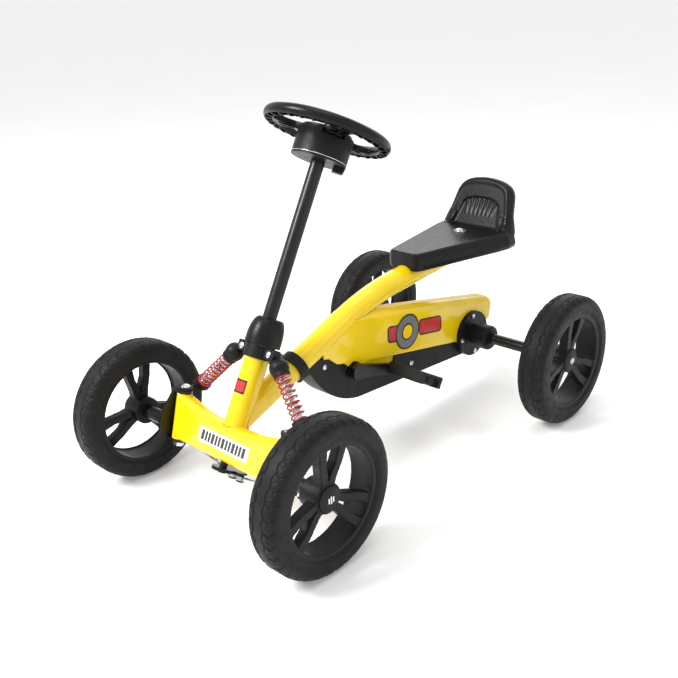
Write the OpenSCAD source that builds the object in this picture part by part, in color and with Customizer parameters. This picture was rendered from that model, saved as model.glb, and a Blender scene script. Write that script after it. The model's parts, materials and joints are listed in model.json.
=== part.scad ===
// Pedal go kart for a small child: a tube frame on four wheels, driven by pedals and an enclosed chain.
// The front faces -Y, the driver's left is +X and the ground is z = 0.
// The origin lies on the ground, midway between the two axles. All sizes are in millimetres.

/* [Overall] */
// Distance between the front axle and the rear axle
wheelbase = 592; // [560:1:720]
// Distance between the middles of the two front tyres
front_track = 420; // [400:1:500]
// Distance between the middles of the two rear tyres
rear_track = 444; // [420:1:540]

/* [Wheels] */
// Outer radius of each tyre
tyre_r = 115; // [108:1:138]
// Width of each tyre
tyre_w = 50; // [46:1:60]
// Radius of the rim's lip
rim_r = 87; // [82:1:92]
// Width of the rim
rim_w = 44; // [40:1:45]
// Number of twin spokes in each rim
twin_spokes = 3; // [3:1:4]
// Radius of the rim's hub
hub_r = 22; // [21:1:24]
// Radius of the hub cap
hub_cap_r = 19; // [17:0.5:19.5]
// Radius of the axle end that a wheel turns on
wheel_axle_r = 6; // [5:0.5:7]

/* [Front beam and kingpins] */
// Distance from the kart's middle to each kingpin
kingpin_x = 120; // [110:1:126]
// Backward lean of the kingpins, in degrees
caster = 16; // [12:1:18]
// How far the kingpin lies behind the front axle
kingpin_trail = 16; // [14:1:18]
// Depth of the front beam, front to back
beam_depth = 28; // [24:1:32]
// Height of the beam below the kingpin's middle
beam_below = 30; // [26:1:32]
// Height of the beam's dipped middle above the kingpin's middle
beam_above = 28; // [24:1:30]
// Radius of the dip along the beam's top
beam_dip_r = 420; // [400:5:600]
// Outer radius of a kingpin tube
kingpin_tube_r = 12; // [11:0.5:13]
// Radius of a kingpin
kingpin_r = 5; // [4:0.5:6]

/* [Steering] */
// Backward lean of the steering column, in degrees
rake = 29; // [27:0.5:31]
// Outer radius of the steering column
column_r = 11; // [10:0.5:12]
// Length of the column above the axle line, up to the hub
column_len = 446; // [420:1:500]
// Radius of the steering wheel's ring, to the middle of its rim
ring_r = 90; // [80:1:110]
// Radius of the steering wheel's rim
rim_grip_r = 9.75; // [8:0.25:11]
// Radius of the steering wheel's hub housing
hub_housing_r = 43; // [40:1:48]
// Length of the pitman arm and of both knuckle arms
steer_arm = 34; // [31:1:36]

/* [Frame tubes] */
// Outer radius of the head tube
head_r = 19; // [18:0.5:21]
// Outer radius of the main tube
tube_r = 20; // [18:0.5:21]
// Wall of the frame tubes
tube_wall = 2; // [1.5:0.25:3]
// Rise of the front part of the main tube, in degrees
tube_rise = 20.8; // [20:0.2:22]
// Rise of the rear part of the main tube, in degrees
seat_rise = 5.4; // [4:0.2:7]
// Length of the front straight part of the main tube
tube_run = 256; // [240:1:270]
// Radius of the main tube's bend
tube_bend_r = 500; // [400:10:600]

/* [Drive] */
// Teeth on the chainring
ring_teeth = 20; // [18:1:21]
// Teeth on the rear sprocket
sprocket_teeth = 13; // [11:1:14]
// Links in the chain
chain_links = 68; // [66:2:68]
// Height of the crank axle above the rear axle
crank_rise = 37; // [32:1:42]
// Length of a crank arm
crank_len = 90; // [80:1:95]
// Radius of the crank axle
crank_r = 8; // [7:0.5:9]
// Radius of the rear axle
axle_r = 10; // [9:0.5:11]
// Length of a pedal
pedal_len = 70; // [58:1:90]
// Depth of a pedal, front to back
pedal_depth = 60; // [50:1:64]
// Thickness of a pedal
pedal_t = 20; // [18:1:24]
// Outer half width of the yellow cover
cover_half = 21.5; // [21.5:0.5:23]
// Outer half width of the black guard
guard_half = 20; // [19.5:0.5:21]
// Wall of the cover and the guard
case_wall = 2.5; // [2:0.25:3]

/* [Seat] */
// Half width of the seat at its widest
seat_half = 82; // [74:1:92]
// Height of the backrest above the seat pan
back_rise = 86; // [70:1:110]
// Wall of the seat shell
seat_wall = 5; // [4:0.5:6]
// How far the seat slides forward
seat_travel = 40; // [20:5:40]

/* [Hidden] */
$fn = 64;

yellow = "gold";
black = [0.12, 0.12, 0.13];
rubber = [0.07, 0.07, 0.07];
steel = "silver";
red = "firebrick";

run_gap = 0.05;   // radial clearance of a shaft that turns in its bore
slide_gap = 0.3;  // clearance between pieces that slide or pass each other
eps = 0.01;

// Reference lines in the kart's middle plane, each a [y, z] pair
front_y = -wheelbase / 2;
rear_y = wheelbase / 2;
axle_z = tyre_r;
kingpin_y = front_y + kingpin_trail;
foot_y = kingpin_y + 1.3;

// Steering column: distances along it are measured up from the axle line
head_low = -36;
head_top = 157;
collar_low = 133;
collar_h = 20;
bush_flange = 2;
pitman_top = head_low - bush_flange - 1;
pitman_t = 5;
foot_r = 6;
foot_top = beam_above + 5;
pitman_pin_x = 9;
ring_s = column_len + 42;
hub_top_s = column_len + 38;

// Main tube: it starts inside the head tube, rises, bends and ends under the seat
tube_s = 34;
tube_y = foot_y + tube_s * sin(rake);
tube_z = axle_z + tube_s * cos(rake);
bend = tube_rise - seat_rise;
tube_end_y = rear_y + 20;

function along(run, rise) = [
    tube_y + run * cos(tube_rise) - rise * sin(tube_rise),
    tube_z + run * sin(tube_rise) + rise * cos(tube_rise)
];
bend_start = along(tube_run, 0);
bend_middle = [bend_start[0] + tube_bend_r * sin(tube_rise), bend_start[1] - tube_bend_r * cos(tube_rise)];
bend_end = [bend_middle[0] - tube_bend_r * sin(seat_rise), bend_middle[1] + tube_bend_r * cos(seat_rise)];
seat_run = (tube_end_y - bend_end[0]) / cos(seat_rise);

// Seat: the bolt's place on the tube sets the height of everything above it
seat_bolt_y = rear_y - 6;
function tube_top(y) = bend_end[1] + (y - bend_end[0]) * tan(seat_rise) + tube_r / cos(seat_rise);
pan_top = tube_top(seat_bolt_y) + 11;
seat_front_y = seat_bolt_y - 160;

// Chain: the crank sits where the whole number of links closes round both sprockets
pitch = 12.7;
roller_r = 4;
function pitch_r(teeth) = pitch / (2 * sin(180 / teeth));
ring_pr = pitch_r(ring_teeth);
sprocket_pr = pitch_r(sprocket_teeth);
function wrap(c) = asin((ring_pr - sprocket_pr) / c);
function span(c) = sqrt(c * c - pow(ring_pr - sprocket_pr, 2));
function links(c) = 2 * span(c) / pitch + (180 + 2 * wrap(c)) * ring_teeth / 360
    + (180 - 2 * wrap(c)) * sprocket_teeth / 360;
function solve(lo, hi, n) = n == 0 ? (lo + hi) / 2
    : links((lo + hi) / 2) > chain_links ? solve(lo, (lo + hi) / 2, n - 1) : solve((lo + hi) / 2, hi, n - 1);
centres = solve(200, 500, 40);
crank_y = rear_y - sqrt(centres * centres - crank_rise * crank_rise);
crank_z = axle_z + crank_rise;
chain_tilt = atan2(axle_z - crank_z, rear_y - crank_y);
crank_angle = -15.5;
pedal_tilt = -30;

function at_crank(dy, dz) = [crank_y + dy, crank_z + dz];
function at_rear(dy, dz) = [rear_y + dy, axle_z + dz];
function arc(centre, r, from, to, n) = [for (i = [0 : n]) let (a = from + (to - from) * i / n)
    [centre[0] + r * cos(a), centre[1] + r * sin(a)]];
function bow(p, q, s, n) = [for (i = [0 : n]) let (t = i / n)
    (1 - t) * (1 - t) * p + 2 * t * (1 - t) * q + t * t * s];

// Widths across the kart, from its middle outward
plate_in = 13;
plate_t = 3;
flange_r = 43;
flange_t = 8;
flange_bolt_r = 36;
boss_r = 18;
boss_out = 50;
boss_collar_r = 23;
boss_end = 71;
arm_in = 28;
arm_t = 8;
pedal_in = 45;
spindle_r = 5;
hub_in = rim_w / 2 + 1;

// Local frames: x stays across the kart and z lies along the named line
module on_column() translate([0, foot_y, axle_z]) rotate([-rake, 0, 0]) children();
module on_kingpin(side = 0) translate([side * kingpin_x, kingpin_y, axle_z]) rotate([-caster, 0, 0]) children();
module on_tube() translate([0, tube_y, tube_z]) rotate([tube_rise - 90, 0, 0]) children();
module on_seat_tube() translate([0, bend_end[0], bend_end[1]]) rotate([seat_rise - 90, 0, 0]) children();
// Outlines drawn as [y, z] pairs are raised along +X
module across(from, to) translate([from, 0, 0]) rotate([90, 0, 90]) linear_extrude(to - from) children();
module along_x(r, from, to) translate([from, 0, 0]) rotate([0, 90, 0]) cylinder(r = r, h = to - from);
module each_side() { children(); mirror([1, 0, 0]) children(); }

// ---- Frame ----
// The bend is a hair thicker than the straights, which reach a little way into it
bend_swell = 0.1;
module tube_shape(r, swell = bend_swell) {
    on_tube() cylinder(r = r, h = tube_run + 1);
    translate([0, bend_middle[0], bend_middle[1]]) rotate([90, 0, 90]) rotate(90 + seat_rise)
        rotate_extrude(angle = bend) translate([tube_bend_r, 0]) circle(r = r + swell);
    on_seat_tube() translate([0, 0, -1]) cylinder(r = r, h = seat_run + 1);
}

// The head tube stands on the beam's top and laps over the beam's back
module head_tube() color(yellow) difference() {
    on_column() translate([0, 0, head_low]) cylinder(r = head_r, h = head_top - head_low);
    on_column() translate([0, 0, head_low - 1]) cylinder(r = head_r - tube_wall, h = head_top - head_low + 2);
    on_kingpin() translate([-60, -100, -100]) cube([120, 100 + beam_depth / 2, 100 + beam_above + 0.3]);
    on_kingpin() translate([-60, -100, -100]) cube([120, 200, 100 - beam_below]);
}

module main_tube() color(yellow) difference() {
    tube_shape(tube_r);
    tube_shape(tube_r - tube_wall, -bend_swell);
    on_column() translate([0, 0, head_low - 20]) cylinder(r = head_r, h = head_top - head_low + 40);
    on_column() translate([-50, -96, head_low - 20]) cube([100, 100, head_top - head_low + 40]);
    on_seat_tube() translate([0, 0, seat_run + eps]) cylinder(r = tube_r * 2, h = 20);
    seat_slot();
}

// The slot along which the seat's bolt slides
slot_half = 4.6;
module seat_slot() {
    bolt_run = (seat_bolt_y - bend_end[0]) / cos(seat_rise);
    on_seat_tube() {
        translate([-slot_half, -tube_r - 1, bolt_run - seat_travel]) cube([2 * slot_half, tube_r, seat_travel + 3]);
        for (run = [bolt_run - seat_travel, bolt_run + 3])
            translate([0, 0, run]) rotate([90, 0, 0]) cylinder(r = slot_half, h = tube_r + 1);
    }
}

module tube_end_plug() color(black) on_seat_tube() translate([0, 0, seat_run - 6]) {
    cylinder(r = tube_r - tube_wall, h = 6 + eps);
    translate([0, 0, 6]) cylinder(r = tube_r, h = 3);
}

// The beam is dipped along its top, and its long edges are rounded
beam_round = 9;
beam_end_top = 43;
module beam_solid(inset) {
    half = beam_depth / 2 - inset;
    round_r = beam_round - inset;
    dip_r = beam_dip_r + inset;
    intersection() {
        translate([0, 0, beam_above + beam_dip_r]) rotate([90, 0, 0]) rotate_extrude($fn = 200)
            translate([dip_r, 0]) union() {
                translate([round_r, -half]) square([120, 2 * half]);
                translate([0, -half + round_r]) square([round_r + 1, 2 * (half - round_r)]);
                for (y = [-1, 1]) translate([round_r, y * (half - round_r)]) circle(r = round_r);
            }
        rotate([90, 0, 90]) linear_extrude(2 * kingpin_x, center = true) union() {
            translate([-half, -beam_below + inset + round_r])
                square([2 * half, beam_below + beam_end_top - 2 * inset - round_r]);
            translate([-half + round_r, -beam_below + inset]) square([2 * (half - round_r), round_r + 1]);
            for (y = [-1, 1]) translate([y * (half - round_r), -beam_below + inset + round_r])
                circle(r = round_r);
        }
    }
}

module front_beam() color(yellow) difference() {
    on_kingpin() difference() {
        beam_solid(0);
        beam_solid(tube_wall);
        for (side = [-1, 1]) translate([side * kingpin_x, 0, -60]) cylinder(r = kingpin_tube_r, h = 120);
    }
    on_column() translate([0, 0, -80]) cylinder(r = foot_r + 0.6, h = 160);
}

kingpin_tube_top = beam_end_top + 1;
ear_gap = 1;
ear_t = 4;
bracket_low = kingpin_tube_top + 2 * ear_gap + ear_t;
bracket_t = 4;
module kingpin_tubes() color(yellow) for (side = [-1, 1]) on_kingpin(side) difference() {
    translate([0, 0, -beam_below]) cylinder(r = kingpin_tube_r, h = beam_below + kingpin_tube_top);
    translate([0, 0, -60]) cylinder(r = kingpin_r, h = 120);
}

module frame_plates() color(yellow) each_side() difference() {
    across(plate_in, plate_in + plate_t) union() {
        polygon([along(175, -10), along(250, -10), at_rear(8, 34), at_rear(34, -8), at_rear(0, -31),
                 at_crank(0, -24), at_crank(-24, -4)]);
        translate(at_crank(0, 0)) circle(r = 24);
        translate(at_rear(0, 0)) circle(r = 34);
    }
    tube_shape(tube_r);
    translate([0, crank_y, crank_z]) along_x(crank_bush_r, 0, 40);
    translate([0, rear_y, axle_z]) along_x(boss_r, 0, 40);
}

// ---- Chain case ----
sleeve_rise = 13;
case_round = 38;
cover_front_run = 139;
cover_back_run = 258;
function split_line() = [
    along(cover_front_run, -10), at_crank(-78, 43.5), at_crank(-55, 37.4), at_crank(-37, 22), at_crank(-21, 18),
    at_crank(-11, 9.6), at_crank(20, 0), at_crank(41, 2.4), at_rear(-46, -5), at_rear(-26, -15.7)
];
function case_top() = concat([at_rear(62, 12)], arc(at_rear(50, 41), 18, -20, 80, 6));

module cover_outline() polygon(concat(
    split_line(), case_top(), [roof_start(), along(cover_back_run - 8, -2), along(cover_front_run, -2)]));

// The case narrows to a rounded ridge along its top
function roof_start() = along(cover_back_run + 4, sleeve_rise + 1);
function roof_end() = case_top()[len(case_top()) - 1];
ridge_half = 4;
ridge_drop = 20;
module roof(inset) {
    run = roof_end() - roof_start();
    half = cover_half + 1 - inset;
    translate([0, roof_start()[0], roof_start()[1] - inset]) rotate([-90 + atan2(run[1], run[0]), 0, 0])
        translate([0, 0, -60]) linear_extrude(norm(run) + 160) polygon(concat(
            [[-5, 0], [ridge_half, 0]],
            [for (a = [15 : 15 : 90]) [ridge_half + (half - ridge_half) * sin(a), ridge_drop * (1 - cos(a))]],
            [[half, 300], [-5, 300]]));
}

module guard_outline() polygon(concat(
    bow(split_line()[0], at_crank(-62, -42), at_crank(10, -54), 12),
    arc(at_rear(0, 0), case_round, -97, 0, 8),
    [for (i = [len(split_line()) - 1 : -1 : 1]) split_line()[i]]));

// Cover and guard enclose one room, which is round about the rear sprocket
module case_inside() offset(delta = -case_wall) union() {
    cover_outline();
    guard_outline();
    translate(at_rear(0, 0)) circle(r = case_round);
}

// The cover's upper edge wraps the side of the main tube
module cover_sleeve() on_tube() intersection() {
    translate([0, 0, cover_front_run - 1]) difference() {
        cylinder(r = cover_half + 0.4, h = cover_back_run - cover_front_run + 1);
        translate([0, 0, -1]) cylinder(r = tube_r + run_gap, h = cover_back_run - cover_front_run + 8);
    }
    translate([5, -sleeve_rise, 0]) cube([30, sleeve_rise + 8, tube_run * 2]);
}

crank_bush_r = 12;
module case_holes() {
    tube_shape(tube_r + run_gap);
    translate([0, crank_y, crank_z]) along_x(crank_bush_r, 0, 40);
    translate([0, rear_y, axle_z]) along_x(boss_r, 0, 40);
}

module cover_half_shell() {
    difference() {
        intersection() {
            across(0, cover_half) cover_outline();
            roof(0);
        }
        intersection() {
            across(-1, cover_half - case_wall) case_inside();
            roof(case_wall);
        }
        case_holes();
    }
    cover_sleeve();
}

// The guard's side is cut away where the crank arm passes
module crank_slot() polygon([
    at_crank(-17, 8), at_crank(-3, -11), at_crank(7, -16), at_crank(33, -23), at_crank(60, -19.5),
    at_crank(97, -23), at_crank(105, -20), at_crank(105, 0), at_crank(41, 12), at_crank(-11, 14)
]);

module guard_half_shell() difference() {
    across(0, guard_half) guard_outline();
    across(-1, guard_half - case_wall) case_inside();
    across(guard_half - case_wall - 1, guard_half + 1) crank_slot();
    case_holes();
}

module cover_left() color(yellow) cover_half_shell();
module cover_right() color(yellow) mirror([1, 0, 0]) cover_half_shell();
module guard_left() color(black) guard_half_shell();
module guard_right() color(black) mirror([1, 0, 0]) guard_half_shell();

// ---- Bearings ----
rear_bush_r = 13;
module bearing_flange() translate([0, rear_y, axle_z]) difference() {
    rotate([0, 90, 0]) rotate_extrude() union() {
        translate([0, plate_in]) square([boss_r, boss_end - plate_in - 6]);
        translate([0, cover_half]) square([flange_r, flange_t]);
        translate([0, boss_out]) square([boss_collar_r, boss_end - boss_out - 6]);
        translate([0, boss_end - 7]) square([boss_collar_r - 6, 7]);
        translate([boss_collar_r - 6, boss_end - 6]) circle(r = 6);
    }
    along_x(rear_bush_r, 0, boss_end + 5);
}
module bearing_flange_left() color(black) bearing_flange();
module bearing_flange_right() color(black) mirror([1, 0, 0]) bearing_flange();

module rear_axle_bushes() color(black) each_side() translate([0, rear_y, axle_z]) difference() {
    union() {
        along_x(rear_bush_r, plate_in, boss_end);
        along_x(rear_bush_r + 2, boss_end, boss_end + bush_flange);
    }
    along_x(axle_r + run_gap, 0, boss_end + 5);
}

crank_bush_out = 26;
module crank_bushes() color(black) each_side() translate([0, crank_y, crank_z]) difference() {
    union() {
        along_x(crank_bush_r, plate_in - 3, cover_half + run_gap);
        along_x(crank_bush_r + 3, cover_half + run_gap, crank_bush_out);
    }
    along_x(crank_r + run_gap, 0, 40);
}

column_bush_h = 16;
module column_bushes() color(black) on_column() difference() {
    union() {
        translate([0, 0, head_top - column_bush_h]) cylinder(r = head_r - tube_wall, h = column_bush_h);
        translate([0, 0, head_top]) cylinder(r = head_r, h = bush_flange);
        translate([0, 0, foot_top + 10]) cylinder(r = head_r - tube_wall, h = column_bush_h);
    }
    translate([0, 0, foot_top]) cylinder(r = column_r + run_gap, h = head_top);
}

// ---- Collar, band, boot and the dummy shock absorbers ----
collar_t = 4;
ear_x = 27;
ear_out = 40;
cap_x = 50;
cap_s = 130;
cap_r = 15;
module head_collar() color(black) on_column() translate([0, 0, collar_low]) difference() {
    union() {
        cylinder(r = head_r + collar_t, h = collar_h);
        translate([-ear_out, -9, 3]) cube([2 * ear_out, 14, collar_h - 3]);
        for (side = [-1, 1]) translate([side * 11 - 4, 0, 4]) cube([8, 33, collar_h - 8]);
    }
    translate([0, 0, -1]) cylinder(r = head_r, h = collar_h + 2);
    for (side = [-1, 1]) translate([side * cap_x, 0, cap_s - collar_low]) sphere(r = cap_r);
}

band_run = 130;
band_w = 17;
band_r = 25.5;
module tube_band() color(black) difference() {
    on_tube() translate([0, 0, band_run - band_w / 2]) cylinder(r = band_r, h = band_w);
    tube_shape(tube_r);
    on_column() translate([0, 0, 100]) cylinder(r = head_r + collar_t + slide_gap, h = 80);
    on_column() for (side = [-1, 1]) translate([side * 11 - 4, 0, collar_low + 4]) cube([8, 33, collar_h - 8]);
    on_tube() translate([-40, -40, cover_front_run - 1.2]) cube([80, 80, 40]);
}

// The boot is a soft dome whose back bulges further than its front
boot_low = head_top - 3;
boot_h = 42;
boot_r = 26.5;
module boot_dome(r, top_r) rotate_extrude() polygon(concat(
    [[0, 0], [r, 0]],
    [for (i = [0 : 10]) let (a = 9 * i) [top_r + (r - top_r) * cos(a), 8 + (boot_h - 8) * sin(a)]],
    [[0, boot_h]]));
module column_boot() color(rubber) on_column() translate([0, 0, boot_low]) difference() {
    union() {
        boot_dome(boot_r, 14);
        translate([0, 4, 0]) boot_dome(boot_r, 17);
    }
    translate([0, 0, -1]) cylinder(r = head_r + 0.05, h = 6.1 - 0.05);
    translate([0, 0, 5 - eps]) cylinder(r = column_r + 8, h = boot_h - 12);
    translate([0, 0, -1]) cylinder(r = column_r + 0.6, h = boot_h + 2);
}

// A kingpin is a long bolt: it holds the bracket and the tube, and the knuckle turns on it
kingpin_low = -beam_below - ear_gap - ear_t - ear_gap;
module kingpins() color(steel) for (side = [-1, 1]) on_kingpin(side) {
    translate([0, 0, kingpin_low - 6]) cylinder(r = kingpin_r, h = bracket_low + bracket_t + 6 - kingpin_low);
    translate([0, 0, kingpin_low - 6]) cylinder(r = 8.5, h = 6, $fn = 6);
    translate([0, 0, bracket_low + bracket_t]) intersection() {
        cylinder(r = 9, h = 5);
        translate([0, 0, -8]) sphere(r = 13);
    }
}

// Shock line: from the cup behind the kingpin up to the ball on the collar
cup_x = kingpin_x - 6;
cup_back = 28;
cup_w = 60;
cup_point = [cup_x, kingpin_y + cup_w * sin(caster) + cup_back * cos(caster),
             axle_z + cup_w * cos(caster) - cup_back * sin(caster)];
cap_point = [cap_x, foot_y + cap_s * sin(rake), axle_z + cap_s * cos(rake)];
shock_v = cap_point - cup_point;
shock_len = norm(shock_v);
shock_lean = acos(shock_v[2] / shock_len);
shock_turn = atan2(shock_v[1], shock_v[0]);
module on_shock() translate(cup_point) rotate([0, shock_lean, shock_turn]) children();

cup_r = 13.5;
cup_h = 12;
spring_r = 10.5;
spring_wire = 1.3;
spring_low = 5;
spring_high = shock_len - 12;
module shock_brackets() color(black) each_side() difference() {
    union() {
        on_kingpin(1) translate([0, 0, bracket_low]) {
            cylinder(r = 13, h = bracket_t);
            linear_extrude(bracket_t)
                polygon([[-13, 0], [13, 0], [cup_x - kingpin_x + 10, cup_back], [cup_x - kingpin_x - 10, cup_back]]);
            translate([cup_x - kingpin_x, cup_back, 0]) cylinder(r = 10, h = bracket_t);
        }
        on_shock() translate([0, 0, -cup_h / 2]) cylinder(r = cup_r, h = cup_h);
        on_shock() translate([0, 0, -cup_h / 2]) sphere(r = cup_r - 2);
    }
    on_kingpin(1) cylinder(r = kingpin_r, h = 100);
    on_kingpin(1) translate([0, 0, bracket_low + bracket_t]) cylinder(r = 10, h = 20);
    on_kingpin(1) translate([-40, -40, bracket_low - 40]) cube([80, 100, 40]);
    on_shock() translate([0, 0, spring_low - spring_wire]) cylinder(r = cup_r - 1.5, h = cup_h);
}

module shock_caps() color(black) each_side() on_shock() difference() {
    union() {
        translate([0, 0, shock_len]) sphere(r = cap_r);
        translate([0, 0, shock_len - cap_r]) cylinder(r = 13, h = 8);
    }
    translate([0, 0, shock_len - cap_r - 5]) cylinder(r = spring_r + spring_wire + 0.3,
        h = cap_r + 5 - 12 + spring_wire);
}

// Coil springs: one helix each, swept by a hexagonal wire
spring_turns = 8;
steps = 16;
sides = 6;
function helix(i) = let (a = 360 * i / steps, h = (spring_high - spring_low) * i / (steps * spring_turns))
    [spring_r * cos(a), spring_r * sin(a), spring_low + h];
function wire(i) = let (a = 360 * i / steps, p = helix(i)) [for (j = [0 : sides - 1]) let (b = 360 * j / sides)
    p + spring_wire * [cos(a) * cos(b), sin(a) * cos(b), sin(b)]];
module coil() {
    rings = steps * spring_turns;
    polyhedron(
        points = [for (i = [0 : rings]) each wire(i)],
        faces = concat(
            [[for (j = [0 : sides - 1]) j]],
            [for (i = [0 : rings - 1], j = [0 : sides - 1])
                let (a = i * sides + j, b = i * sides + (j + 1) % sides) [a, a + sides, b + sides, b]],
            [[for (j = [sides - 1 : -1 : 0]) rings * sides + j]]));
}
module shock_springs() color(red) each_side() on_shock() coil();

module shock_rods() color(steel) each_side() on_shock() {
    translate([0, 0, spring_low - spring_wire]) cylinder(r = 3.5, h = spring_high - spring_low + 2 * spring_wire);
    translate([0, 0, spring_low - spring_wire]) cylinder(r = 6, h = 32);
}

// Every small screw of the frame and the case has the same domed head
module screw_head(r, h) intersection() {
    cylinder(r = r, h = h);
    translate([0, 0, h - 2 * r]) sphere(r = 2 * r);
}
module screw_x(p, from) translate([from, p[0], p[1]]) rotate([0, 90, 0]) screw_head(4.5, 2.5);
module frame_screws() color(steel) each_side() {
    screw_x(at_crank(-65, 27), guard_half);
    screw_x(at_crank(150, -40), guard_half);
    for (a = [0 : 90 : 270])
        screw_x(at_rear(flange_bolt_r * cos(a + 5), flange_bolt_r * sin(a + 5)), cover_half + flange_t);
    on_column() translate([ear_x + 3, -9, collar_low + 11]) rotate([90, 0, 0]) screw_head(5, 3);
}

// ---- Drive ----
sprocket_t = 5;
module sprocket_disc(teeth) linear_extrude(sprocket_t, center = true) difference() {
    circle(r = pitch_r(teeth) + 1.6);
    for (i = [0 : teeth - 1]) rotate(360 * (i + 0.5) / teeth) translate([pitch_r(teeth), 0])
        circle(r = roller_r + 0.75);
}

// Both sprockets turn with their shafts; a tooth gap faces along the line of centres
module toothed(teeth, bore_r, boss_r, boss_w) rotate([90, 0, 90]) rotate(chain_tilt) difference() {
    union() {
        sprocket_disc(teeth);
        cylinder(r = boss_r, h = boss_w, center = true);
    }
    cylinder(r = bore_r, h = boss_w + 2, center = true);
}
module chainring() color(steel) translate([0, crank_y, crank_z]) toothed(ring_teeth, crank_r, 16, 16);
module rear_sprocket() color(steel) translate([0, rear_y, axle_z]) toothed(sprocket_teeth, axle_r, 16, 18);

// The chain lies in a frame whose x runs from the crank to the rear axle. A place on it is counted in
// pitches, starting where the upper run leaves the chainring.
lean = wrap(centres);
top_run = span(centres) / pitch;
rear_wrap = (180 - 2 * lean) * sprocket_teeth / 360;
front_wrap = (180 + 2 * lean) * ring_teeth / 360;
function chain_point(k) =
    k < top_run ? ring_pr * [sin(lean), cos(lean)] + k * pitch * [cos(lean), -sin(lean)]
    : k < top_run + rear_wrap ? let (a = 90 - lean - (k - top_run) * 360 / sprocket_teeth)
        [centres + sprocket_pr * cos(a), sprocket_pr * sin(a)]
    : k < 2 * top_run + rear_wrap ? let (d = (2 * top_run + rear_wrap - k) * pitch)
        ring_pr * [sin(lean), -cos(lean)] + d * [cos(lean), sin(lean)]
    : let (a = -90 + lean - (k - 2 * top_run - rear_wrap) * 360 / ring_teeth)
        ring_pr * [cos(a), sin(a)];
// The first roller sits in a tooth gap, half a pitch from the line through both centres
chain_start = (90 - lean) * sprocket_teeth / 360;
chain_shift = top_run + chain_start - floor(top_run + chain_start) - 0.5;
function roller(i) = chain_point((i + chain_shift + chain_links) % chain_links);

plate_h = 8;
module link_plate(p, q, from) {
    d = q - p;
    translate([p[0], p[1], from]) rotate(atan2(d[1], d[0])) linear_extrude(1.2) polygon([
        [-3.4, -2], [-1.6, -3.9], [2, -3.6], [norm(d) - 2, -3.6], [norm(d) + 1.6, -3.9], [norm(d) + 3.4, -2],
        [norm(d) + 3.4, 2], [norm(d) + 1.6, 3.9], [norm(d) - 2, 3.6], [2, 3.6], [-1.6, 3.9], [-3.4, 2]
    ]);
}
module chain() color(steel) translate([0, crank_y, crank_z]) rotate([90, 0, 90]) rotate(chain_tilt)
    for (i = [0 : chain_links - 1]) {
        low = i % 2 == 0 ? 3.2 : 4.6;
        link_plate(roller(i), roller((i + 1) % chain_links), low);
        link_plate(roller(i), roller((i + 1) % chain_links), -low - 1.2);
        translate([roller(i)[0], roller(i)[1], -3.2]) cylinder(r = roller_r, h = 6.4, $fn = 24);
        translate([roller(i)[0], roller(i)[1], -6.4]) cylinder(r = 1.8, h = 12.8, $fn = 24);
    }

module crank_axle() color(steel) translate([0, crank_y, crank_z]) along_x(crank_r, -arm_in - arm_t, arm_in + arm_t);

module crank_arm() difference() {
    union() {
        along_x(14, arm_in, arm_in + arm_t);
        translate([0, crank_len, 0]) along_x(9, arm_in, arm_in + arm_t);
        across(arm_in, arm_in + arm_t) polygon([[0, 12], [crank_len, 8.5], [crank_len, -8.5], [0, -12]]);
        translate([0, crank_len, 0]) along_x(spindle_r, arm_in, pedal_in + pedal_len - 3);
        translate([0, crank_len, 0]) along_x(7, arm_in + arm_t, pedal_in - 1);
    }
    along_x(crank_r, 0, 60);
}
module crank_arms() color(black) translate([0, crank_y, crank_z]) for (side = [0, 1])
    rotate([crank_angle + 180 * side, 0, 0]) mirror([side, 0, 0]) crank_arm();

// A pedal: two tread bars and two end plates on a sleeve, with a closed outer end
module pedal() difference() {
    union() {
        along_x(9, pedal_in + 2, pedal_in + pedal_len);
        for (side = [-1, 1])
            translate([pedal_in, side * (pedal_depth / 2 - 5) - 5, -pedal_t / 2]) cube([pedal_len + 2, 10, pedal_t]);
        for (x = [pedal_in + 5, pedal_in + pedal_len - 10])
            translate([x, -pedal_depth / 2 + 5, -pedal_t / 2 + 4]) cube([6, pedal_depth - 10, pedal_t - 8]);
    }
    along_x(spindle_r + run_gap, 0, pedal_in + pedal_len - 2.5);
}
module place_pedal(side) translate([0, crank_y, crank_z]) rotate([crank_angle + 180 * side, 0, 0])
    translate([0, crank_len, 0]) rotate([pedal_tilt - crank_angle - 180 * side, 0, 0]) mirror([side, 0, 0]) pedal();
module pedal_left() color(black) place_pedal(0);
module pedal_right() color(black) place_pedal(1);

module rear_axle() color(black) translate([0, rear_y, axle_z]) union() {
    shoulder = rear_track / 2 - hub_in;
    along_x(axle_r, -shoulder, shoulder);
    along_x(wheel_axle_r, -rear_track / 2 - 8, rear_track / 2 + 8);
}

// ---- Wheels: drawn on the wheel's own centre, with the outer face towards +X ----
lip_h = 3;
lip_w = 3;
barrel_t = 4;
face_w = 10;
bead_r = rim_r - lip_h;
shoulder_r = 14;
module tyre() rotate([0, 90, 0]) rotate_extrude($fn = 96) difference() {
    union() {
        translate([bead_r, -rim_w / 2 + lip_w]) square([6, rim_w - 2 * lip_w]);
        translate([rim_r, -tyre_w / 2]) square([tyre_r - shoulder_r - rim_r, tyre_w]);
        translate([rim_r, -tyre_w / 2 + shoulder_r]) square([tyre_r - rim_r, tyre_w - 2 * shoulder_r]);
        for (side = [-1, 1]) translate([tyre_r - shoulder_r, side * (tyre_w / 2 - shoulder_r)])
            circle(r = shoulder_r);
    }
}

// One half of a twin spoke: it leaves the hub close to its twin and opens out like a tulip
module half_spoke() polygon([[12, 1], [12, 11], [30, 14.5], [50, 21], [bead_r - barrel_t + 1, 27],
                             [bead_r - barrel_t + 1, 11.5], [50, 8.5], [33, 1.5]]);

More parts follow.
